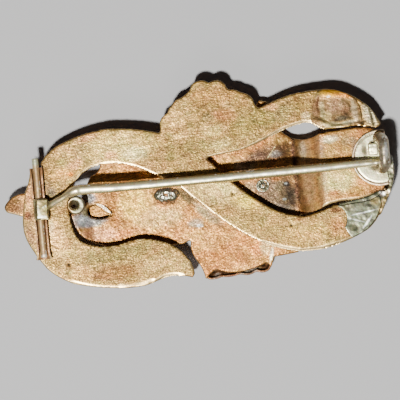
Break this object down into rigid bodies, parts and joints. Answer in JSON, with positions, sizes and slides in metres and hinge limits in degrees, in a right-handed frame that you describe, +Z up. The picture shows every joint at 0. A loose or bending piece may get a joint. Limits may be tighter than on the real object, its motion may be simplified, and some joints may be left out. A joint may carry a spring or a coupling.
{
  "type": "garnet brooch",
  "caption": "Antique gilt brooch of two interlaced ribbons set with garnets, lying on its front, with its hinged pin closed in a hook catch across the back.",
  "frame": {"origin": "on the surface under the middle of the brooch's box", "axes": "+X along the closed pin from the hinge to the catch, +Y across towards the upper fan, +Z up out of the back"},
  "size_m": [0.055, 0.0281, 0.0094],
  "materials": {
    "gilt": "aged gilt",
    "copper_gilt": "worn gilt over copper",
    "nickel": "dull nickel",
    "garnet": "polished facets"
  },
  "bodies": {
    "brooch": {"upper_plate": "gilt", "upper_front": "gilt", "lower_plate": "copper_gilt", "lower_front": "copper_gilt", "end_front": "copper_gilt", "hinge_trough_upper": "nickel", "hinge_trough_lower": "nickel", "hinge_rod": "nickel", "catch": "nickel", "chain_ring": "nickel", "left_collet": "gilt", "left_garnet": "garnet", "centre_collet": "gilt", "centre_garnet": "garnet", "right_collet": "gilt", "right_garnet": "garnet"},
    "pin": {"pin": "nickel"}
  },
  "joints": [
    {"name": "pin_swing", "type": "hinge", "parent": "brooch", "child": "pin", "pos_m": [-0.02255, 0, 0.00593], "axis": [0, -1, 0], "range_deg": [0, 110]}
  ]
}
